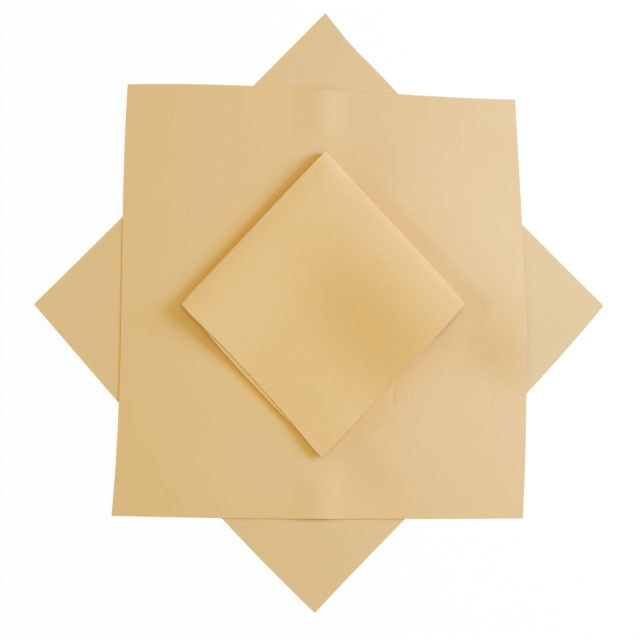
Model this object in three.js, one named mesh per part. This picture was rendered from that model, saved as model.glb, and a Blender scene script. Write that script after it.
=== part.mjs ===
// Three square microfiber chamois cloths laid on top of each other: one spread as a diamond, one spread
// square-on over it, and one folded in quarters on top. Millimetres, +Z up. The origin is on the surface
// that the set lies on, under the centre of the bottom cloth.

import * as THREE from 'three';

// The cloth as cut
const CLOTH_SIDE = 400;
const CLOTH_THICKNESS = 0.6;

// How the set lies: the gap between one layer and the next, and how far the soft cloth is drawn out along Y,
// which draws it in as much along X
const LAYER_GAP = 0.3;
const DRAWN_ALONG_Y = 1.034;

// Each cloth's turn about Z in degrees, and where its centre lies from the centre of the bottom cloth
const BOTTOM_TURN = 44.5;
const MIDDLE_TURN = -0.8;
const MIDDLE_CENTRE_X = 0;
const MIDDLE_CENTRE_Y = 4.5;
const FOLDED_TURN = 44.9;
const FOLDED_CENTRE_X = 2.5;
const FOLDED_CENTRE_Y = 0;

// The folds: the air channel inside a side fold where it meets the half fold, the one inside the half fold,
// and how far the upper side fold springs open at its free end
const SIDE_FOLD_BORE = 1.4;
const HALF_FOLD_BORE = 4.4;
const SIDE_FOLD_SPRING = 1.6;

// Where the middle cloth passes the bottom one it runs on level, then sinks to the surface over a run
const LEVEL_OVERHANG = 8;
const SINKING_RUN = 72;

// Facets along a spread cloth, along a flat quarter, round a side fold and round half of the half fold
const SPREAD_STEPS = 24;
const QUARTER_STEPS = 10;
const SIDE_FOLD_STEPS = 8;
const HALF_FOLD_STEPS = 4;

// The finish of the chamois
const CHAMOIS_COLOUR = 0xe0c18f;
const CHAMOIS_ROUGHNESS = 0.95;
const CHAMOIS_METALNESS = 0;

// Sizes that follow. A folded cloth is half as wide as a flat one, and reaches half of that from its centre.
const HALF_SIDE = CLOTH_SIDE / 2;
const QUARTER_REACH = HALF_SIDE / 2;
const LAYER_PITCH = CLOTH_THICKNESS + LAYER_GAP;
const MIDDLE_UNDERSIDE = LAYER_PITCH;
const FOLDED_UNDERSIDE = MIDDLE_UNDERSIDE + LAYER_PITCH;

// A half of the folded cloth is two layers thick where it lies flat. The half fold goes round both layers of
// each half, and its radius is the height of the line that the cloth opens about.
const HALF_THICKNESS = CLOTH_THICKNESS + LAYER_PITCH;
const HALF_FOLD_RADIUS = 2 * CLOTH_THICKNESS + SIDE_FOLD_BORE + HALF_FOLD_BORE / 2;
const HALF_FOLD_START = QUARTER_REACH - HALF_FOLD_RADIUS;

// The halves part along a plane that climbs from the free edges to the line that the cloth opens about
const PARTING_AT_FREE_EDGE = HALF_THICKNESS + LAYER_GAP / 2;
const PARTING_CLIMB = HALF_FOLD_RADIUS - PARTING_AT_FREE_EDGE;

const chamois = () =>
  new THREE.MeshStandardMaterial({
    color: CHAMOIS_COLOUR,
    roughness: CHAMOIS_ROUGHNESS,
    metalness: CHAMOIS_METALNESS,
  });

// A thin sheet of cloth: a block of unit size, cut into steps, whose every point is moved to its place.
// place takes how far along the point is in length and width, in steps, and in thickness, from 0 to 1.
function sheet(name, lengthSteps, widthSteps, place) {
  const geometry = new THREE.BoxGeometry(1, 1, 1, lengthSteps, widthSteps, 1);
  geometry.translate(0.5, 0.5, 0.5);
  const points = geometry.getAttribute('position');
  for (let i = 0; i < points.count; i += 1) {
    const length = Math.round(points.getX(i) * lengthSteps);
    const width = Math.round(points.getY(i) * widthSteps);
    const { x, y, z } = place(length, width, points.getZ(i));
    points.setXYZ(i, x, y, z);
  }
  geometry.computeVertexNormals();
  const mesh = new THREE.Mesh(geometry, chamois());
  mesh.name = name;
  return mesh;
}

// The bottom cloth lies flat on the surface
function bottomCloth() {
  const cloth = sheet('bottom_cloth', 1, 1, (length, width, depth) => ({
    x: (length - 0.5) * CLOTH_SIDE,
    y: (width - 0.5) * CLOTH_SIDE,
    z: depth * CLOTH_THICKNESS,
  }));
  cloth.rotation.z = THREE.MathUtils.degToRad(BOTTOM_TURN);
  return cloth;
}

// How far a point lies outside the edge of the bottom cloth
function beyondBottomCloth(x, y) {
  const point = new THREE.Vector2(x, y);
  point.rotateAround(new THREE.Vector2(), -THREE.MathUtils.degToRad(BOTTOM_TURN));
  return Math.max(Math.abs(point.x), Math.abs(point.y)) - HALF_SIDE;
}

// The middle cloth lies on the bottom one, and its four corners sink to the surface beside it
function middleCloth() {
  const centre = new THREE.Vector2(MIDDLE_CENTRE_X, MIDDLE_CENTRE_Y);
  const turn = THREE.MathUtils.degToRad(MIDDLE_TURN);
  return sheet('middle_cloth', SPREAD_STEPS, SPREAD_STEPS, (length, width, depth) => {
    const x = (length / SPREAD_STEPS - 0.5) * CLOTH_SIDE;
    const y = (width / SPREAD_STEPS - 0.5) * CLOTH_SIDE;
    const spot = new THREE.Vector2(x, y).rotateAround(new THREE.Vector2(), turn).add(centre);
    const beyond = beyondBottomCloth(spot.x, spot.y);
    const sunk = THREE.MathUtils.smoothstep(beyond, LEVEL_OVERHANG, LEVEL_OVERHANG + SINKING_RUN);
    return { x: spot.x, y: spot.y, z: MIDDLE_UNDERSIDE * (1 - sunk) + depth * CLOTH_THICKNESS };
  });
}

// Across a folded half, from the free edge of its outer layer round the side fold to that of its inner layer:
// the place across, the angle of the bend, how far in the layer is, from the outer one, 0, to the inner one, 1,
// and how near the side fold is
function acrossHalf(step, foldRadius) {
  const bendStep = THREE.MathUtils.clamp(step - QUARTER_STEPS, 0, SIDE_FOLD_STEPS);
  const bend = (bendStep / SIDE_FOLD_STEPS - 0.5) * Math.PI;
  const panelStep = Math.min(step, 2 * QUARTER_STEPS + SIDE_FOLD_STEPS - step, QUARTER_STEPS);
  const share = panelStep / QUARTER_STEPS;
  const panel = HALF_SIDE - (foldRadius * Math.PI) / 2;
  const foldStart = QUARTER_REACH - CLOTH_THICKNESS / 2 - foldRadius;
  const across = foldStart - (1 - share) * panel + foldRadius * Math.cos(bend);
  return { across, bend, inward: (1 + Math.sin(bend)) / 2, nearSideFold: share * share };
}

// One half of the folded cloth: two layers joined by their side fold, along +Y here, that curl together
// round half of the half fold, along +X here. The upper half lies on the lower one and curls down to meet it.
function foldedHalf(name, upper) {
  const lengthSteps = QUARTER_STEPS + HALF_FOLD_STEPS;
  const widthSteps = 2 * QUARTER_STEPS + SIDE_FOLD_STEPS;
  return sheet(name, lengthSteps, widthSteps, (length, width, depth) => {
    const share = Math.min(length / QUARTER_STEPS, 1);
    const nearHalfFold = share * share;
    const spring = upper ? SIDE_FOLD_SPRING * (1 - share) : 0;
    const sideFoldAir = (SIDE_FOLD_BORE - LAYER_GAP) * nearHalfFold + spring;
    const { across, bend, inward, nearSideFold } = acrossHalf(width, (LAYER_PITCH + sideFoldAir) / 2);

    const outwards = (upper ? depth - 0.5 : 0.5 - depth) * CLOTH_THICKNESS;
    const inset = CLOTH_THICKNESS / 2 + inward * (LAYER_PITCH + sideFoldAir * nearSideFold);
    const fromOuterFace = inset + outwards * Math.sin(bend);
    const y = across + outwards * Math.cos(bend);

    if (length > QUARTER_STEPS) {
      const radius = HALF_FOLD_RADIUS - fromOuterFace;
      const meeting = Math.acos(LAYER_GAP / 2 / radius);
      const angle = (meeting * (length - QUARTER_STEPS)) / HALF_FOLD_STEPS;
      const rise = radius * Math.cos(angle);
      const x = HALF_FOLD_START + radius * Math.sin(angle);
      return { x, y, z: HALF_FOLD_RADIUS + (upper ? rise : -rise) };
    }

    // The inner layer takes the shorter way round the half fold, so its free edge stands out further
    const panel = HALF_SIDE - ((HALF_FOLD_RADIUS - inset) * Math.PI) / 2;
    const x = HALF_FOLD_START - (1 - share) * panel;
    const parting = PARTING_AT_FREE_EDGE + PARTING_CLIMB * share;
    const upperAir = PARTING_CLIMB * nearHalfFold + spring * nearSideFold;
    const top = parting + LAYER_GAP / 2 + HALF_THICKNESS + upperAir;
    return { x, y, z: upper ? top - fromOuterFace : fromOuterFace };
  });
}

function foldedCloth() {
  const cloth = new THREE.Group();
  cloth.add(foldedHalf('folded_cloth_lower_half', false));
  cloth.add(foldedHalf('folded_cloth_upper_half', true));
  cloth.position.set(FOLDED_CENTRE_X, FOLDED_CENTRE_Y, FOLDED_UNDERSIDE);
  cloth.rotation.z = THREE.MathUtils.degToRad(FOLDED_TURN);
  return cloth;
}

const chamoisSet = new THREE.Group();
chamoisSet.add(bottomCloth(), middleCloth(), foldedCloth());
chamoisSet.scale.set(1 / DRAWN_ALONG_Y, DRAWN_ALONG_Y, 1);

export default chamoisSet;
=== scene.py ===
"""A set of three microfiber chamois cloths: two spread sheets laid across each other as a star, and one
sheet folded in quarters on top. Metres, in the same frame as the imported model."""

import math
from collections import namedtuple

import bmesh
import bpy
from mathutils import Matrix, Vector


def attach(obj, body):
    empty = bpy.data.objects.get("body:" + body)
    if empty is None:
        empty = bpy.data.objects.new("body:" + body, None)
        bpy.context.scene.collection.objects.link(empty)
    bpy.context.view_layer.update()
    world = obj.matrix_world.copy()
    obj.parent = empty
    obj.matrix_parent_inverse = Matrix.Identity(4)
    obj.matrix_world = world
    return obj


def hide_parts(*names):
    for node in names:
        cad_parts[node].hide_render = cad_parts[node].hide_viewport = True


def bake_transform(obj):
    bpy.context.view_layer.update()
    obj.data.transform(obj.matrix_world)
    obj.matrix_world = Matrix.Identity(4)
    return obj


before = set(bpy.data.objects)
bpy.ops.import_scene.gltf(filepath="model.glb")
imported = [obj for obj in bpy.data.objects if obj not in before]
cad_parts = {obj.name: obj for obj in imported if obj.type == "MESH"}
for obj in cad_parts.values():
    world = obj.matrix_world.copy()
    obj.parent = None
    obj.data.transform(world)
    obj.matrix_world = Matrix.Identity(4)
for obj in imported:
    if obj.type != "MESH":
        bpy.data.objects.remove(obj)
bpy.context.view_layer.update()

# The cloth as cut, the gap between one cloth and the next and between the layers of the folded one, and
# how far the soft cloth lies drawn out along Y, which draws it in as much along X
CLOTH_SIDE = 0.4
CLOTH_THICKNESS = 0.0006
CLOTH_GAP = 0.0003
LAYER_GAP = 0.00015
DRAWN_ALONG_Y = 1.034

# Sizes that follow. The folded cloth reaches a quarter of a side from its centre. Half of its depth,
# where it lies flat, is two layers and half of the gap between its halves.
HALF_SIDE = CLOTH_SIDE / 2
QUARTER_REACH = HALF_SIDE / 2
MID_THICKNESS = CLOTH_THICKNESS / 2
LAYER_PITCH = CLOTH_THICKNESS + LAYER_GAP
HALF_DEPTH = CLOTH_THICKNESS + LAYER_PITCH + LAYER_GAP / 2
MIDDLE_UNDERSIDE = CLOTH_THICKNESS + CLOTH_GAP
FOLDED_UNDERSIDE = 2 * MIDDLE_UNDERSIDE

# How a cloth lies: its turn about Z in degrees, the place of its centre, how far each corner is pulled
# out of square, and how each side bows outwards, with the lean of that bow along the side. A corner is
# named by its side across the cloth and its end along it.
Lay = namedtuple("Lay", "turn centre corner_pulls right_bow left_bow top_bow bottom_bow")
CORNERS = ((1, 1), (1, -1), (-1, -1), (-1, 1))
STRAIGHT = (0.0, 0.0)

BOTTOM_LAY = Lay(
    turn=44.5,
    centre=(0.0, 0.0),
    corner_pulls={
        (1, 1): (0.0016, -0.0019),
        (1, -1): (0.0027, 0.0007),
        (-1, -1): (-0.0011, 0.0034),
        (-1, 1): (-0.0027, -0.0027),
    },
    right_bow=(-0.0031, 0.13),
    left_bow=(0.005, -0.4),
    top_bow=STRAIGHT,
    bottom_bow=(0.0033, 1.2),
)
MIDDLE_LAY = Lay(
    turn=-0.8,
    centre=(0.0, 0.0045),
    corner_pulls={
        (1, 1): (-0.0031, -0.0024),
        (1, -1): (0.0016, 0.0011),
        (-1, -1): (-0.0004, -0.0015),
        (-1, 1): (0.0012, 0.0028),
    },
    right_bow=(0.0059, -0.3),
    left_bow=(-0.0018, -2.6),
    top_bow=(0.002, -1.9),
    bottom_bow=(0.0016, -0.2),
)
FOLDED_LAY = Lay(
    turn=44.9,
    centre=(0.0025, 0.0),
    corner_pulls={
        (1, 1): (0.0048, 0.0018),
        (1, -1): (0.002, 0.0),
        (-1, -1): (-0.0027, -0.0012),
        (-1, 1): (-0.002, 0.0005),
    },
    right_bow=STRAIGHT,
    left_bow=STRAIGHT,
    top_bow=STRAIGHT,
    bottom_bow=STRAIGHT,
)

# How far each corner of the folded cloth is rounded off, and the power that keeps this near the corner
CORNER_BLUNTING = {(1, 1): 0.0, (1, -1): 0.0016, (-1, -1): 0.0, (-1, 1): 0.001}
BLUNTING_POWER = 20

# The bottom cloth: a dent in its upper right side, close to the top tip, with its place and width as
# shares of half a side, how far each tip curls up, and where that starts, as a share of the way out to
# the tip
DENT_DEPTH = 0.002
DENT_PLACE = 0.8
DENT_WIDTH = 0.14
TIP_CURLS = {(1, 1): 0.0015, (1, -1): 0.003, (-1, -1): 0.0012, (-1, 1): 0.0042}
TIP_CURL_START = 0.6

# The middle cloth: the run over which it sinks to the surface beside the bottom one, and the power by
# which its loft and its creases merge, so that the higher one leads
SINKING_RUN = 0.083
MERGING_POWER = 4

# Its loft just outside the two right sides of the folded cloth, which presses it: the height beside the
# upper and the lower one, where it starts and is full, how far from the end of each side it fades, and
# where it settles
UPPER_LOFT = 0.0025
LOWER_LOFT = 0.0025
LOFT_START = -0.005
LOFT_END = 0.025
UPPER_LOFT_FADE = 0.08
LOWER_LOFT_FADE = 0.05
LOFT_SETTLING_START = 0.03
LOFT_SETTLING_END = 0.13

# A groove along the lower right side of the folded cloth, where a share of the loft climbs at once: its
# place and width along that side, the run of the climb, and the share
GROOVE_PLACE = 0.075
GROOVE_WIDTH = 0.017
GROOVE_RUN = 0.0024
GROOVE_SHARE = 0.3

# Where the folded cloth presses the creases flat: the run over which that ends outside it, and the power
# that rounds the corners of the pressed square
PRESSED_RUN = 0.024
PRESSED_ROUNDING = 8

# Packing creases of the middle cloth: the ridge along its own Y, and the fuller one out to its right
CREASE_HEIGHT = 0.0016
CREASE_LEFT_WIDTH = 0.022
CREASE_RIGHT_WIDTH = 0.016
RIGHT_CREASE_HEIGHT = 0.006
RIGHT_CREASE_PLACE = -0.035
RIGHT_CREASE_WIDTH = 0.036
RIGHT_CREASE_START = 0.1

# A short sharp nick in the middle cloth beside the folded one
NICK_PLACE = (0.0676, -0.0885)
NICK_DEPTH = 0.0005
NICK_HALF_LENGTH = 0.0075
NICK_LEFT_WIDTH = 0.0009
NICK_RIGHT_WIDTH = 0.0017

# Folds of the folded cloth: the radius of the half fold, which is the height of the line that it opens
# about, the air in a side fold where it meets the half fold, and the power that keeps this air near the
# side fold
HALF_FOLD_RADIUS = 0.0048
SIDE_FOLD_BORE = 0.001
BORE_NEARNESS = 3.0

# How the upper half rounds over into the half fold: over what length, over what length at the top corner
# and from where along the fold that changes, how much more cloth it takes up than that length, and the
# power of its curve
UPPER_ROUNDING = 0.034
CORNER_ROUNDING = 0.02
CORNER_ROUNDING_START = 0.05
ROUNDING_EXCESS = 0.0012
ROUNDING_POWER = 2.2

# How the upper side fold springs open: how far at its free end, the power by which it opens towards that
# end, and where across the cloth the upper half starts to rise and is fully raised. The inner layer rises
# with the outer one, apart from the loop at the fold, and the last power keeps that loop near the fold.
SIDE_FOLD_SPRING = 0.0052
SPRING_POWER = 2.0
SPRING_START = 0.008
SPRING_END = 0.09
LOOP_NEARNESS = 20.0

# The full roll just inside the half fold, with how much it flattens towards the lower right side and from
# where, the soft puff along the side folds, and the lift of the free corner at the front
ROLL_HEIGHT = 0.0017
ROLL_PLACE = 0.063
ROLL_WIDTH = 0.055
ROLL_FLATTENING = 0.6
ROLL_FLATTENING_START = 0.04
PUFF_HEIGHT = 0.0017
PUFF_PLACE = 0.08
PUFF_WIDTH = 0.045
FRONT_CORNER_LIFT = 0.0016
FRONT_CORNER_START = 0.03

# The open sides of the folded cloth. The lower half peeps out along the lower right side. Along the lower
# left one the outer layer of the upper half is hollow, and the inner one peeps out, inset at its ends.
# The two powers give these bows their level middle and their soft ends.
LOWER_PEEP = 0.003
LOWER_PEEP_PLACE = -0.045
LOWER_PEEP_HALF_LENGTH = 0.05
HOLLOW_DEPTH = 0.003
HOLLOW_HALF_LENGTH = 0.088
PEEP_BOW = 0.0033
PEEP_INSET = 0.0012
PEEP_PLACE = -0.012
PEEP_HALF_LENGTH = 0.1
LEVEL_POWER = 3
SOFT_END_POWER = 1.5

# Grid lines of each sheet, and how far apart they are at the folds, as a share of an even spacing
SPREAD_STEPS = 200
FOLDED_STEPS = 170
GATHER = 0.16

# The cut edges: how far they are rounded, in how many steps, and from which angle in degrees
CUT_EDGE_ROUNDING = 0.0002
CUT_EDGE_STEPS = 2
CUT_EDGE_ANGLE = 50

# Camera: where it aims, how it is turned from straight above, its distance and its lens
AIM = Vector((-0.00067, -0.01484, 0.0))
CAMERA_TILT = math.radians(6.7)
CAMERA_YAW = math.radians(2.07)
CAMERA_DISTANCE = 1.1
CAMERA_LENS = 64.18
SENSOR_WIDTH = 36.0

# Light: a warm soft dome all round, a warm fill overhead, and a cool soft key low on the right. On level
# cloth they are about white together.
WARM = (0.979, 1.0, 0.487)
DOME_STRENGTH = 0.58
FILL_ENERGY = 2.85
FILL_SIZE = 1.0
FILL_PLACE = Vector((0.0, 0.0, 1.3))
COOL = (0.19, 0.398, 1.0)
KEY_ENERGY = 44.4
KEY_SIZE = 0.7
KEY_PLACE = Vector((1.31, 0.28, 0.54))

# The floor: its reach, how far below the set it lies, its matt finish, and how much of it shows as white
FLOOR_REACH = 20.0
FLOOR_DROP = 0.0002
FLOOR_COLOUR = (0.9, 0.9, 0.9, 1.0)
FLOOR_ROUGHNESS = 1.0
FLOOR_SPECULAR = 0.0
FLOOR_WHITENESS = 0.94
WHITE = (1.0, 1.0, 1.0, 1.0)

# The chamois: the colours of its raised and laid nap, of the painted shade on its shaded patches, and of
# its cut edge, which is partly painted shade, with the width of that edge, its specks, and its shader
# values
NAP_RAISED = (0.9, 0.551, 0.2745, 1.0)
NAP_LAID = (0.848, 0.494, 0.223, 1.0)
# painted shade for the dark patches on the folded and the middle cloth
NAP_PAINTED_SHADE = (0.811, 0.454, 0.168, 1.0)
# partly the cut edge's own colour, partly painted shade on the cut sides
CUT_EDGE_AND_SHADE = (0.9, 0.49, 0.12, 1.0)
CUT_EDGE_WIDTH = 0.0003
SPECK = (0.7, 0.42, 0.2, 1.0)
SPECK_SPACING = 0.11
SPECK_RADIUS = 0.0016
SPECK_SHARE = 0.5
CHAMOIS_ROUGHNESS = 0.92
CHAMOIS_SPECULAR = 0.15
CHAMOIS_SHEEN = 0.05
CHAMOIS_SHEEN_ROUGHNESS = 0.5
SHEEN_TINT = (1.0, 0.86, 0.62, 1.0)
BUMP_DISTANCE = 0.0004
BUMP_STRENGTH = 0.5

# The pattern of the nap: its broad patches, its brushed streaks, which are drawn out along the cloth, and
# its fibres, each with its size, the detail and roughness of its noise, and its weight in how raised the
# nap is
Pattern = namedtuple("Pattern", "size detail roughness weight")
BROAD_PATCHES = Pattern(size=0.08, detail=2, roughness=0.5, weight=0.45)
BRUSHED_STREAKS = Pattern(size=0.009, detail=3, roughness=0.5, weight=0.3)
FIBRES = Pattern(size=0.0011, detail=4, roughness=0.6, weight=0.25)
STREAK_STRETCH = (1.0, 0.3, 1.0)

# Painted shade along the half fold, with its tone and how far it reaches, painted warm shade on the round
# patch around the folded cloth, with its tone, its place as shares of the flat cloth, and where it is full
# and ends, and the share of its reach within which the painted shade of a patch is full
# painted shade that dims the lit crest of the half fold
FOLD_LINE_SHADE_TONE = (0.86, 0.82, 0.65)
FOLD_LINE_REACH = 0.002
# painted warm shade around the folded cloth
SURROUND_SHADE_TONE = (1.02, 0.986, 0.92)
SURROUND_SHADE_PLACE = (0.481, 0.489, 0.0)
SURROUND_SHADE_FULL = 0.098
SURROUND_SHADE_END = 0.132
SHADE_PATCH_CORE = 0.1

# The middle of the flat cloth, as shares of it
CLOTH_MIDDLE = (0.5, 0.5, 0.0)

# The nap of each cloth: how its pattern is shifted, so that no two cloths are alike, where it has a patch
# of painted shade, how far and how much, as shares of the flat cloth, how much painted shade it has along
# the half fold and painted warm shade around the folded cloth, and its tone beside the others'
Nap = namedtuple("Nap", "shift rubbed_place rubbed_reach rubbed_share fold_line_share pressed_share tone")
BOTTOM_NAP = Nap(
    shift=(0.0, 0.0, 0.0),
    rubbed_place=CLOTH_MIDDLE,
    rubbed_reach=(1.0, 1.0, 1.0),
    rubbed_share=0.0,
    fold_line_share=0.0,
    pressed_share=0.0,
    tone=(0.968, 0.99, 1.01, 1.0),
)
MIDDLE_NAP = Nap(
    shift=(1.0, 2.0, 0.0),
    # painted shade on the dark patch out to the right of the folded cloth
    rubbed_place=(0.9, 0.425, 0.0),
    rubbed_reach=(0.2, 0.17, 1.0),
    rubbed_share=0.45,
    fold_line_share=0.0,
    pressed_share=1.0,
    tone=(0.991, 0.989, 0.985, 1.0),
)
FOLDED_NAP = Nap(
    shift=(3.0, 1.0, 0.0),
    # painted shade on the dark band across the top of the folded cloth
    rubbed_place=(0.295, 0.085, 0.0),
    rubbed_reach=(0.2, 0.4, 1.0),
    rubbed_share=1.0,
    fold_line_share=1.0,
    pressed_share=0.0,
    tone=(1.009, 0.985, 0.904, 1.0),
)


def smooth(value, start, end):
    """Goes smoothly from 0 at start to 1 at end."""
    share = min(max((value - start) / (end - start), 0.0), 1.0)
    return share * share * (3 - 2 * share)


def bell(value, width):
    """A soft hump: 1 in the middle, and close to 0 two widths away."""
    return math.exp(-((value / width) ** 2))


def leaning_bell(value, width_before, width_after):
    """A soft hump that is steeper on one side."""
    return bell(value, width_before if value < 0 else width_after)


def level_bow(value, half_length):
    """A bow that is almost level in the middle: 1 there, and 0 half a length away."""
    return max(1 - abs(value / half_length) ** LEVEL_POWER, 0.0) ** SOFT_END_POWER


def bow(shape, along):
    """How far a side stands out at a place along it, from -1 to 1."""
    depth, lean = shape
    return depth * (1 - along * along) * (1 + lean * along)


def placed(lay, across, along):
    """Turns a place on a cloth, moves it to the cloth's centre, and draws the set along Y."""
    turn = math.radians(lay.turn)
    x = math.cos(turn) * across - math.sin(turn) * along + lay.centre[0]
    y = math.sin(turn) * across + math.cos(turn) * along + lay.centre[1]
    return x / DRAWN_ALONG_Y, y * DRAWN_ALONG_Y


def on_cloth(lay, x, y):
    """The place on a cloth that lies at x, y: the reverse of placed."""
    turn = math.radians(lay.turn)
    right = x * DRAWN_ALONG_Y - lay.centre[0]
    up = y / DRAWN_ALONG_Y - lay.centre[1]
    across = math.cos(turn) * right + math.sin(turn) * up
    along = math.cos(turn) * up - math.sin(turn) * right
    return across, along


def corner_shares(p, q, low_sides):
    """The corners that move a point, each with its share in that. low_sides says whether the corners on
    the low side of p, and of q, are among them."""
    for side, end in CORNERS:
        if (side > 0 or low_sides[0]) and (end > 0 or low_sides[1]):
            yield (side, end), (1 + side * p) * (1 + end * q) / 4


def corner_pull(lay, p, q, low_sides=(True, True)):
    """How far a point is moved by the corners that are pulled out of square."""
    across = 0.0
    along = 0.0
    for corner, share in corner_shares(p, q, low_sides):
        pull_across, pull_along = lay.corner_pulls[corner]
        across += share * pull_across
        along += share * pull_along
    return across, along


def spread_place(lay, p, q):
    """Where a point of a spread cloth lies; p and q run from -1 to 1 over the flat cloth."""
    across, along = corner_pull(lay, p, q)
    across += p * HALF_SIDE + bow(lay.right_bow, q) * (1 + p) / 2 - bow(lay.left_bow, q) * (1 - p) / 2
    along += q * HALF_SIDE + bow(lay.top_bow, p) * (1 + q) / 2 - bow(lay.bottom_bow, p) * (1 - q) / 2
    return placed(lay, across, along)


def bottom_point(p, q):
    """The bottom cloth lies flat, with a dent in one side, and its four tips curl up a little."""
    dent = DENT_DEPTH / HALF_SIDE * bell(q - DENT_PLACE, DENT_WIDTH) * (1 + p) / 2
    x, y = spread_place(BOTTOM_LAY, p - dent, q)
    curl = TIP_CURLS[1 if p > 0 else -1, 1 if q > 0 else -1]
    tip = max((abs(p) + abs(q)) / 2 - TIP_CURL_START, 0.0) / (1 - TIP_CURL_START)
    return Vector((x, y, MID_THICKNESS + curl * tip * tip))


def beyond_bottom(x, y):
    """How far a point lies outside the edge of the bottom cloth."""
    across, along = on_cloth(BOTTOM_LAY, x, y)
    return max(abs(across), abs(along)) - HALF_SIDE


def loft_beside_folded(x, y):
    """How far the middle cloth lofts up just outside the two right sides of the folded one, and at once
    in the groove beside the lower one."""
    across, along = on_cloth(FOLDED_LAY, x, y)
    above = UPPER_LOFT * smooth(across - QUARTER_REACH, LOFT_START, LOFT_END)
    above *= 1 - smooth(along, QUARTER_REACH - UPPER_LOFT_FADE, QUARTER_REACH)
    steep = GROOVE_SHARE * bell(across - GROOVE_PLACE, GROOVE_WIDTH)
    below = (1 - steep) * smooth(-along - QUARTER_REACH, LOFT_START, LOFT_END)
    below += steep * smooth(-along - QUARTER_REACH, 0.0, GROOVE_RUN)
    below *= LOWER_LOFT * (1 - smooth(-across, QUARTER_REACH - LOWER_LOFT_FADE, QUARTER_REACH))
    outside = max(across, -along) - QUARTER_REACH
    settled = smooth(outside, LOFT_SETTLING_START, LOFT_SETTLING_END)
    return max(above, below) * (1 - settled)


def pressed_by_folded(x, y):
    """1 on a rounded square that takes in the folded cloth, and smoothly down to 0 outside it."""
    across, along = on_cloth(FOLDED_LAY, x, y)
    reach = (abs(across) ** PRESSED_ROUNDING + abs(along) ** PRESSED_ROUNDING) ** (1 / PRESSED_ROUNDING)
    corner = QUARTER_REACH * 2 ** (1 / PRESSED_ROUNDING)
    return 1 - smooth(reach, corner, corner + PRESSED_RUN)


def packing_creases(across, along):
    """The ridges that the middle cloth keeps from its packing."""
    ridge = CREASE_HEIGHT * leaning_bell(across, CREASE_LEFT_WIDTH, CREASE_RIGHT_WIDTH)
    run_out = smooth(across, RIGHT_CREASE_START, HALF_SIDE)
    return ridge + RIGHT_CREASE_HEIGHT * run_out * bell(along - RIGHT_CREASE_PLACE, RIGHT_CREASE_WIDTH)


def nick(across, along):
    """A short sharp nick that is pressed into the middle cloth."""
    aside = leaning_bell(across - NICK_PLACE[0], NICK_LEFT_WIDTH, NICK_RIGHT_WIDTH)
    return NICK_DEPTH * aside * bell(along - NICK_PLACE[1], NICK_HALF_LENGTH)


def middle_point(p, q):
    """The middle cloth lies on the bottom one, with its corners on the surface. Its creases and its loft
    beside the folded one are raised."""
    x, y = spread_place(MIDDLE_LAY, p, q)
    sunk = smooth(beyond_bottom(x, y), 0.0, SINKING_RUN)
    level = MID_THICKNESS + MIDDLE_UNDERSIDE * (1 - sunk)
    across = p * HALF_SIDE
    along = q * HALF_SIDE
    creases = packing_creases(across, along) * (1 - pressed_by_folded(x, y))
    loft = loft_beside_folded(x, y)
    raised = (loft ** MERGING_POWER + creases ** MERGING_POWER) ** (1 / MERGING_POWER)
    return Vector((x, y, level + raised - nick(across, along)))


def evenly(share):
    """Leaves the grid lines of a spread cloth evenly apart."""
    return share


def gathered(share):
    """Moves the grid lines of the folded cloth closer together at its folds."""
    return share * (GATHER + (1 - GATHER) * share * share)


def parting_height(share):
    """Height of the plane between the halves, from the free edges, 0, to the half fold, 1."""
    return HALF_DEPTH + (HALF_FOLD_RADIUS - HALF_DEPTH) * share


def across_layers(v, fold_air):
    """Across the side fold, from the free edge of the outer layer, where v is lowest, round to that of
    the inner one: the place across, how far in the layer is, from the outer one, 0, to the inner one, 1,
    and how near the fold is, from the free edges, 0, to the fold, 1."""
    radius = (LAYER_PITCH + fold_air) / 2
    quarter_turn = radius * math.pi / 2
    start = QUARTER_REACH - MID_THICKNESS - radius
    beyond = max(abs(v) - quarter_turn, 0.0)
    bend = min(max(v / radius, -math.pi / 2), math.pi / 2)
    near = 1 - beyond / (HALF_SIDE - quarter_turn)
    return start - beyond + radius * math.cos(bend), (1 + math.sin(bend)) / 2, near


def side_puff(b):
    """Height of the soft puff along the side folds, which rounds off to nothing at the folds."""
    if b < PUFF_PLACE:
        return PUFF_HEIGHT * bell(b - PUFF_PLACE, PUFF_WIDTH)
    share = (b - PUFF_PLACE) / (QUARTER_REACH - PUFF_PLACE)
    return PUFF_HEIGHT * (1 - share * share)


def top_height(a, b, lift):
    """Height of the upper face: it climbs from the free edges to the half fold, with the roll, the puff
    and the front corner raised, and with the lift that the air in the side fold gives it."""
    share = min(max((a + QUARTER_REACH) / HALF_SIDE, 0.0), 1.0)
    roll = ROLL_HEIGHT * bell(a - ROLL_PLACE, ROLL_WIDTH)
    roll *= 1 - ROLL_FLATTENING * smooth(-b, ROLL_FLATTENING_START, QUARTER_REACH)
    front = smooth(-b, FRONT_CORNER_START, QUARTER_REACH) * smooth(-a, 0.0, QUARTER_REACH)
    raised = math.hypot(roll, side_puff(b)) + lift + FRONT_CORNER_LIFT * front
    return parting_height(share) + HALF_DEPTH + raised


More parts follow.
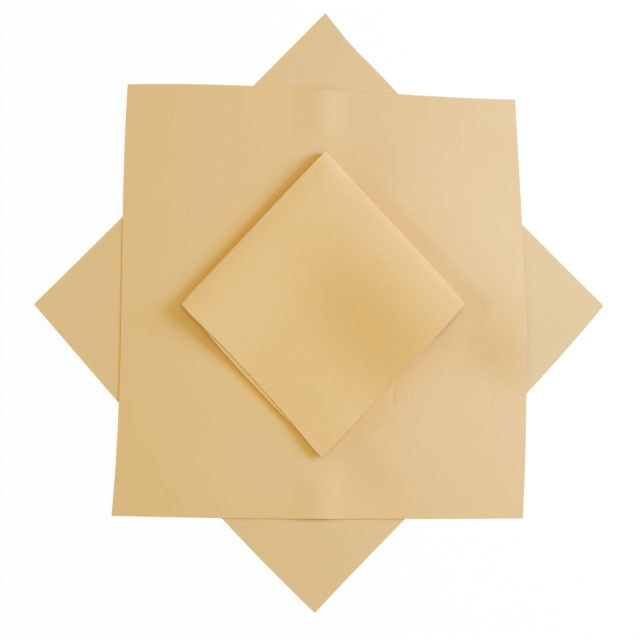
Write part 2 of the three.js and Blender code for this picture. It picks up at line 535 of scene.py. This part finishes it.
def lower_point(u, v):
    """A point of the lower half. u runs from 0 at the outermost line of the half fold to the free edge."""
    share = 1 - u / HALF_SIDE
    fold_air = (SIDE_FOLD_BORE - LAYER_GAP) * share * share
    b, inward, near = across_layers(v, fold_air)
    inset = MID_THICKNESS + inward * (LAYER_PITCH + fold_air * near ** BORE_NEARNESS)
    radius = HALF_FOLD_RADIUS - inset
    past_fold = max(u - radius * math.pi / 2, 0.0)
    bend = min(u / radius, math.pi / 2)
    a = QUARTER_REACH - HALF_FOLD_RADIUS + radius * math.cos(bend) - past_fold
    z = HALF_FOLD_RADIUS - radius * math.sin(bend)
    return a, b - LOWER_PEEP * level_bow(a - LOWER_PEEP_PLACE, LOWER_PEEP_HALF_LENGTH), z


def upper_rounding(b):
    """The length over which the upper half rounds over into the half fold."""
    at_corner = smooth(b, CORNER_ROUNDING_START, QUARTER_REACH)
    return UPPER_ROUNDING + (CORNER_ROUNDING - UPPER_ROUNDING) * at_corner


def open_side_shift(a, b, inward):
    """How far a layer of the upper half is drawn back from its open side: the outer layer is hollow
    there, and the inner one peeps out."""
    hollow = (1 - inward) * HOLLOW_DEPTH * level_bow(b, HOLLOW_HALF_LENGTH)
    peep = inward * (PEEP_BOW * level_bow(b - PEEP_PLACE, PEEP_HALF_LENGTH) - PEEP_INSET)
    return (hollow - peep) * smooth(-a, 0.0, QUARTER_REACH)


def upper_point(u, v):
    """A point of the upper half. u runs from 0 at the outermost line of the half fold to the free edge."""
    share = 1 - u / HALF_SIDE
    bore_air = (SIDE_FOLD_BORE - LAYER_GAP) * share * share
    spring_air = SIDE_FOLD_SPRING * (1 - share) ** SPRING_POWER
    b, inward, near = across_layers(v, bore_air + spring_air)
    bored = bore_air * near ** BORE_NEARNESS
    lift = bored + spring_air * smooth(b, SPRING_START, SPRING_END)
    apart = bored + spring_air * near ** LOOP_NEARNESS
    inset = MID_THICKNESS + inward * (LAYER_PITCH + apart)
    rounding = upper_rounding(b)
    start = QUARTER_REACH - rounding
    past_fold = u - rounding - ROUNDING_EXCESS
    if past_fold < 0:
        out = -past_fold / (rounding + ROUNDING_EXCESS)
        rise = top_height(start, b, lift) - inset - HALF_FOLD_RADIUS
        round_over = (1 - out ** ROUNDING_POWER) ** (1 / ROUNDING_POWER)
        return start + (rounding - inset) * out, b, HALF_FOLD_RADIUS + rise * round_over
    a = start - past_fold
    return a + open_side_shift(a, b, inward), b, top_height(a, b, lift) - inset


def folded_pull(p, q, low_sides):
    """How far a point of the folded cloth is moved by its pulled and blunted corners."""
    across, along = corner_pull(FOLDED_LAY, p, q, low_sides)
    for (side, end), share in corner_shares(p, q, low_sides):
        blunted = CORNER_BLUNTING[side, end] * share ** BLUNTING_POWER
        across -= side * blunted
        along -= end * blunted
    return across, along


def folded_point(p, q):
    """The folded cloth: p runs from the free edge of the upper half, -1, round the half fold to that of
    the lower one, and q from the free edge of the outer layers, -1, round the side folds to that of the
    inner ones."""
    u = gathered(p) * HALF_SIDE
    v = gathered(q) * HALF_SIDE
    a, b, z = lower_point(u, v) if u >= 0 else upper_point(-u, v)
    from_folds = 1 - 2 * abs(gathered(p)), 1 - 2 * abs(gathered(q))
    pull_across, pull_along = folded_pull(*from_folds, (u < 0, v < 0))
    x, y = placed(FOLDED_LAY, a + pull_across, b + pull_along)
    return Vector((x, y, z + FOLDED_UNDERSIDE))


def cloth_sheet(name, steps, spacing, point):
    """A square grid of cloth, with its flat form as its UV map and every point moved to its place."""
    work = bmesh.new()
    flat = work.loops.layers.uv.new("flat_cloth")
    bmesh.ops.create_grid(work, x_segments=steps, y_segments=steps, size=1.0)
    for face in work.faces:
        face.smooth = True
        for loop in face.loops:
            p, q, _ = loop.vert.co
            loop[flat].uv = ((1 + spacing(p)) / 2, (1 + spacing(q)) / 2)
    for vert in work.verts:
        vert.co = point(vert.co.x, vert.co.y)
    mesh = bpy.data.meshes.new(name)
    work.to_mesh(mesh)
    work.free()
    sheet = bpy.data.objects.new(name, mesh)
    bpy.context.scene.collection.objects.link(sheet)
    return sheet


def thicken(sheet):
    """Gives a sheet its thickness, half on each side, and rounds its cut edges."""
    wall = sheet.modifiers.new("thickness", "SOLIDIFY")
    wall.thickness = CLOTH_THICKNESS
    wall.offset = 0.0
    cut = sheet.modifiers.new("cut edge", "BEVEL")
    cut.width = CUT_EDGE_ROUNDING
    cut.segments = CUT_EDGE_STEPS
    cut.limit_method = "ANGLE"
    cut.angle_limit = math.radians(CUT_EDGE_ANGLE)
    cut.harden_normals = True


def link_up(tree, *pairs):
    """Joins sockets of a node tree, each pair from an output to an input."""
    for output, socket in pairs:
        tree.links.new(output, socket)


def feed(tree, socket, value):
    """Joins an input to another node's output, or gives it a plain value."""
    if isinstance(value, bpy.types.NodeSocket):
        tree.links.new(value, socket)
    else:
        socket.default_value = value


def math_node(tree, operation, first, second):
    """A Math node of two values or sockets."""
    node = tree.nodes.new("ShaderNodeMath")
    node.operation = operation
    for socket, value in zip(node.inputs, (first, second)):
        feed(tree, socket, value)
    return node.outputs["Value"]


def vector_node(tree, operation, *values):
    """A Vector Math node of vectors or sockets."""
    node = tree.nodes.new("ShaderNodeVectorMath")
    node.operation = operation
    for socket, value in zip(node.inputs, values):
        feed(tree, socket, value)
    return node


def mixed(tree, share, first, second):
    """A colour between two others."""
    mix = tree.nodes.new("ShaderNodeMix")
    mix.data_type = "RGBA"
    feed(tree, mix.inputs["Factor"], share)
    feed(tree, mix.inputs["A"], first)
    feed(tree, mix.inputs["B"], second)
    return mix.outputs["Result"]


def toned(tree, share, colour, tone):
    """A colour that takes on a tone by a share."""
    full_tone = vector_node(tree, "MULTIPLY", colour, tone).outputs["Vector"]
    return mixed(tree, share, colour, full_tone)


def noise_node(tree, vector, pattern):
    """The noise of a pattern, with patches that are about the pattern's size across."""
    noise = tree.nodes.new("ShaderNodeTexNoise")
    noise.inputs["Scale"].default_value = 1 / pattern.size
    noise.inputs["Detail"].default_value = pattern.detail
    noise.inputs["Roughness"].default_value = pattern.roughness
    tree.links.new(vector, noise.inputs["Vector"])
    return noise.outputs["Fac"]


def fading(tree, value, near, far):
    """1 where a value is below near, and smoothly down to 0 at far."""
    fade = tree.nodes.new("ShaderNodeMapRange")
    fade.interpolation_type = "SMOOTHSTEP"
    fade.inputs["From Min"].default_value = near
    fade.inputs["From Max"].default_value = far
    fade.inputs["To Min"].default_value = 1.0
    fade.inputs["To Max"].default_value = 0.0
    tree.links.new(value, fade.inputs["Value"])
    return fade.outputs["Result"]


def from_middle(tree, cloth):
    """How far a place on the flat cloth is from each middle line of it, in metres."""
    from_centre = vector_node(tree, "SUBTRACT", cloth, CLOTH_MIDDLE).outputs["Vector"]
    aside = vector_node(tree, "ABSOLUTE", from_centre).outputs["Vector"]
    sides = (CLOTH_SIDE, CLOTH_SIDE, CLOTH_SIDE)
    parts = tree.nodes.new("ShaderNodeSeparateXYZ")
    tree.links.new(vector_node(tree, "MULTIPLY", aside, sides).outputs["Vector"], parts.inputs["Vector"])
    return parts.outputs["X"], parts.outputs["Y"]


def cut_edge_mask(tree, cloth):
    """1 at the four cut sides of the flat cloth, and smoothly down to 0 in a narrow band along them."""
    farthest = math_node(tree, "MAXIMUM", *from_middle(tree, cloth))
    return fading(tree, math_node(tree, "SUBTRACT", HALF_SIDE, farthest), 0.0, CUT_EDGE_WIDTH)


def fold_line_shade_mask(tree, cloth):
    """1 along the half fold, where shade is painted on the crest, and smoothly down to 0 beside it."""
    aside, _ = from_middle(tree, cloth)
    return fading(tree, aside, 0.0, FOLD_LINE_REACH)


def surround_shade_mask(tree, cloth):
    """1 on the round patch around the folded cloth, where warm shade is painted, and smoothly down to 0 at
    its end.
    """
    from_place = vector_node(tree, "SUBTRACT", cloth, SURROUND_SHADE_PLACE).outputs["Vector"]
    away = vector_node(tree, "LENGTH", from_place).outputs["Value"]
    return fading(tree, away, SURROUND_SHADE_FULL / CLOTH_SIDE, SURROUND_SHADE_END / CLOTH_SIDE)


def shade_patch_mask(tree, cloth, place, reach):
    """1 at a place on the flat cloth where shade is painted, and smoothly down to 0 at its reach."""
    from_place = vector_node(tree, "SUBTRACT", cloth, place).outputs["Vector"]
    shares = vector_node(tree, "DIVIDE", from_place, reach).outputs["Vector"]
    return fading(tree, vector_node(tree, "LENGTH", shares).outputs["Value"], SHADE_PATCH_CORE, 1.0)


def speck_mask(tree, flat):
    """Small soft specks, far apart."""
    cells = tree.nodes.new("ShaderNodeTexVoronoi")
    cells.inputs["Scale"].default_value = 1 / SPECK_SPACING
    tree.links.new(flat, cells.inputs["Vector"])
    return fading(tree, cells.outputs["Distance"], 0.0, SPECK_RADIUS / SPECK_SPACING)


def name_nap_sockets(tree):
    """Names what the nap group takes and what it gives."""
    for name in ("Cloth", "Shift", "Rubbed Place", "Rubbed Reach"):
        tree.interface.new_socket(name, in_out="INPUT", socket_type="NodeSocketVector")
    for name in ("Rubbed Share", "Fold Line Share", "Pressed Share"):
        tree.interface.new_socket(name, in_out="INPUT", socket_type="NodeSocketFloat")
    tree.interface.new_socket("Tone", in_out="INPUT", socket_type="NodeSocketColor")
    tree.interface.new_socket("Colour", in_out="OUTPUT", socket_type="NodeSocketColor")
    tree.interface.new_socket("Height", in_out="OUTPUT", socket_type="NodeSocketFloat")


def nap_pattern(tree, flat):
    """How raised the nap is, from its broad patches, brushed streaks and fibres, and the fibres alone."""
    streaked = vector_node(tree, "MULTIPLY", flat, STREAK_STRETCH).outputs["Vector"]
    broad = noise_node(tree, flat, BROAD_PATCHES)
    brushed = noise_node(tree, streaked, BRUSHED_STREAKS)
    fibre = noise_node(tree, flat, FIBRES)
    raised = math_node(tree, "MULTIPLY", broad, BROAD_PATCHES.weight)
    raised = math_node(tree, "ADD", raised, math_node(tree, "MULTIPLY", brushed, BRUSHED_STREAKS.weight))
    raised = math_node(tree, "ADD", raised, math_node(tree, "MULTIPLY", fibre, FIBRES.weight))
    return raised, fibre


def nap_colour(tree, given, flat, raised):
    """The colour of the nap, raised or laid, with painted shade on a patch, in the cloth's tone, with
    painted shade along the half fold and painted warm shade around the folded cloth, with its specks, and
    at the edges the cut edge's colour, which is partly painted shade."""
    cloth = given["Cloth"]
    shade_patch = shade_patch_mask(tree, cloth, given["Rubbed Place"], given["Rubbed Reach"])
    shade_patch = math_node(tree, "MULTIPLY", shade_patch, given["Rubbed Share"])
    fold_line_shade = math_node(tree, "MULTIPLY", fold_line_shade_mask(tree, cloth), given["Fold Line Share"])
    surround_shade = math_node(tree, "MULTIPLY", surround_shade_mask(tree, cloth), given["Pressed Share"])
    specks = math_node(tree, "MULTIPLY", speck_mask(tree, flat), SPECK_SHARE)
    colour = mixed(tree, raised, NAP_LAID, NAP_RAISED)
    # painted shade on a patch of the cloth
    colour = mixed(tree, shade_patch, colour, NAP_PAINTED_SHADE)
    colour = vector_node(tree, "MULTIPLY", colour, given["Tone"]).outputs["Vector"]
    # painted shade along the crest of the half fold
    colour = toned(tree, fold_line_shade, colour, FOLD_LINE_SHADE_TONE)
    # painted warm shade around the folded cloth
    colour = toned(tree, surround_shade, colour, SURROUND_SHADE_TONE)
    colour = mixed(tree, specks, colour, SPECK)
    # the cut edge's colour, partly painted shade on the cut sides
    return mixed(tree, cut_edge_mask(tree, cloth), colour, CUT_EDGE_AND_SHADE)


def chamois_nap_group():
    """The nap of chamois on the flat cloth. Its inputs are the values that differ from cloth to cloth."""
    tree = bpy.data.node_groups.new("chamois_nap", "ShaderNodeTree")
    name_nap_sockets(tree)
    given = tree.nodes.new("NodeGroupInput").outputs
    made = tree.nodes.new("NodeGroupOutput").inputs
    sides = (CLOTH_SIDE, CLOTH_SIDE, 1.0)
    flat = vector_node(tree, "MULTIPLY_ADD", given["Cloth"], sides, given["Shift"]).outputs["Vector"]
    raised, fibre = nap_pattern(tree, flat)
    colour = nap_colour(tree, given, flat, raised)
    link_up(tree, (colour, made["Colour"]), (fibre, made["Height"]))
    return tree


def nap_node(tree, nap_group, nap):
    """Places the nap group in a material, with the values of one cloth."""
    node = tree.nodes.new("ShaderNodeGroup")
    node.node_tree = nap_group
    node.inputs["Shift"].default_value = nap.shift
    node.inputs["Rubbed Place"].default_value = nap.rubbed_place
    node.inputs["Rubbed Reach"].default_value = nap.rubbed_reach
    node.inputs["Rubbed Share"].default_value = nap.rubbed_share
    node.inputs["Fold Line Share"].default_value = nap.fold_line_share
    node.inputs["Pressed Share"].default_value = nap.pressed_share
    node.inputs["Tone"].default_value = nap.tone
    return node


def chamois_material(name, nap_group, nap):
    """Chamois whose nap follows the flat cloth, with the nap of one cloth."""
    material = bpy.data.materials.new(name)
    material.use_nodes = True
    tree = material.node_tree
    shader = tree.nodes["Principled BSDF"]
    shader.inputs["Roughness"].default_value = CHAMOIS_ROUGHNESS
    shader.inputs["Specular IOR Level"].default_value = CHAMOIS_SPECULAR
    shader.inputs["Sheen Weight"].default_value = CHAMOIS_SHEEN
    shader.inputs["Sheen Roughness"].default_value = CHAMOIS_SHEEN_ROUGHNESS
    shader.inputs["Sheen Tint"].default_value = SHEEN_TINT
    place = tree.nodes.new("ShaderNodeTexCoord")
    surface = nap_node(tree, nap_group, nap)
    bump = tree.nodes.new("ShaderNodeBump")
    bump.inputs["Distance"].default_value = BUMP_DISTANCE
    bump.inputs["Strength"].default_value = BUMP_STRENGTH
    link_up(
        tree,
        (place.outputs["UV"], surface.inputs["Cloth"]),
        (surface.outputs["Colour"], shader.inputs["Base Color"]),
        (surface.outputs["Height"], bump.inputs["Height"]),
        (bump.outputs["Normal"], shader.inputs["Normal"]),
    )
    return material


def bend_at_half_fold(sheet):
    """Bakes the folded sheet's place into its mesh."""
    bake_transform(sheet)


def make_cloths():
    """The three sheets, the bottom and the middle one each on its body."""
    nap_group = chamois_nap_group()
    bottom = cloth_sheet("bottom_chamois", SPREAD_STEPS, evenly, bottom_point)
    middle = cloth_sheet("middle_chamois", SPREAD_STEPS, evenly, middle_point)
    folded = cloth_sheet("folded_chamois", FOLDED_STEPS, gathered, folded_point)
    naps = {bottom: BOTTOM_NAP, middle: MIDDLE_NAP, folded: FOLDED_NAP}
    for sheet, nap in naps.items():
        thicken(sheet)
        sheet.data.materials.append(chamois_material(sheet.name, nap_group, nap))
    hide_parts("bottom_cloth")
    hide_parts("middle_cloth")
    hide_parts("folded_cloth_lower_half", "folded_cloth_upper_half")
    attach(bottom, "bottom_cloth")
    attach(middle, "middle_cloth")
    bend_at_half_fold(folded)


def seen_by_camera(tree):
    """1 for rays from the camera, and for those that a shiny or clear surface sends on."""
    path = tree.nodes.new("ShaderNodeLightPath")
    seen = math_node(tree, "MAXIMUM", path.outputs["Is Camera Ray"], path.outputs["Is Glossy Ray"])
    return math_node(tree, "MAXIMUM", seen, path.outputs["Is Transmission Ray"])


def floor_material():
    """A pale matt floor that shows almost white and keeps a soft shadow."""
    material = bpy.data.materials.new("floor")
    material.use_nodes = True
    tree = material.node_tree
    matt = tree.nodes["Principled BSDF"]
    matt.inputs["Base Color"].default_value = FLOOR_COLOUR
    matt.inputs["Roughness"].default_value = FLOOR_ROUGHNESS
    matt.inputs["Specular IOR Level"].default_value = FLOOR_SPECULAR
    white = tree.nodes.new("ShaderNodeEmission")
    white.inputs["Color"].default_value = WHITE
    mix = tree.nodes.new("ShaderNodeMixShader")
    link_up(
        tree,
        (math_node(tree, "MULTIPLY", seen_by_camera(tree), FLOOR_WHITENESS), mix.inputs["Fac"]),
        (matt.outputs["BSDF"], mix.inputs[1]),
        (white.outputs["Emission"], mix.inputs[2]),
        (mix.outputs["Shader"], tree.nodes["Material Output"].inputs["Surface"]),
    )
    return material


def make_floor():
    """The floor that the set lies on."""
    work = bmesh.new()
    bmesh.ops.create_grid(work, x_segments=1, y_segments=1, size=FLOOR_REACH)
    bmesh.ops.translate(work, verts=work.verts, vec=(0, 0, -FLOOR_DROP))
    mesh = bpy.data.meshes.new("floor")
    work.to_mesh(mesh)
    work.free()
    mesh.materials.append(floor_material())
    floor = bpy.data.objects.new("floor", mesh)
    bpy.context.scene.collection.objects.link(floor)


def make_dome():
    """A soft dome of light all round, which shows as a white backdrop."""
    world = bpy.data.worlds.new("studio")
    bpy.context.scene.world = world
    world.use_nodes = True
    tree = world.node_tree
    dome = tree.nodes["Background"]
    dome.inputs["Color"].default_value = (*WARM, 1.0)
    dome.inputs["Strength"].default_value = DOME_STRENGTH
    white = tree.nodes.new("ShaderNodeBackground")
    white.inputs["Color"].default_value = WHITE
    mix = tree.nodes.new("ShaderNodeMixShader")
    link_up(
        tree,
        (seen_by_camera(tree), mix.inputs["Fac"]),
        (dome.outputs["Background"], mix.inputs[1]),
        (white.outputs["Background"], mix.inputs[2]),
        (mix.outputs["Shader"], tree.nodes["World Output"].inputs["Surface"]),
    )


def soft_lamp(name, place, size, energy, colour):
    """A round soft lamp that points at the middle of the set."""
    light = bpy.data.lights.new(name, "AREA")
    light.shape = "DISK"
    light.size = size
    light.energy = energy
    light.color = colour
    lamp = bpy.data.objects.new(name, light)
    lamp.location = place
    lamp.rotation_euler = (-place).to_track_quat("-Z", "Y").to_euler()
    lamp.visible_camera = False
    bpy.context.scene.collection.objects.link(lamp)


def make_camera():
    """Almost straight above, with the image upright along Y."""
    back = Vector((
        -math.sin(CAMERA_YAW) * math.cos(CAMERA_TILT),
        -math.sin(CAMERA_TILT),
        math.cos(CAMERA_YAW) * math.cos(CAMERA_TILT),
    )).normalized()
    right = Vector((0, 1, 0)).cross(back).normalized()
    up = back.cross(right)
    lens = bpy.data.cameras.new("camera")
    lens.lens = CAMERA_LENS
    lens.sensor_width = SENSOR_WIDTH
    camera = bpy.data.objects.new("camera", lens)
    turn = Matrix((right, up, back)).transposed().to_4x4()
    camera.matrix_world = Matrix.Translation(AIM + back * CAMERA_DISTANCE) @ turn
    bpy.context.scene.collection.objects.link(camera)
    bpy.context.scene.camera = camera


bpy.context.scene.view_settings.view_transform = "Standard"
make_camera()
make_floor()
make_dome()
soft_lamp("fill", FILL_PLACE, FILL_SIZE, FILL_ENERGY, WARM)
soft_lamp("key", KEY_PLACE, KEY_SIZE, KEY_ENERGY, COOL)
make_cloths()
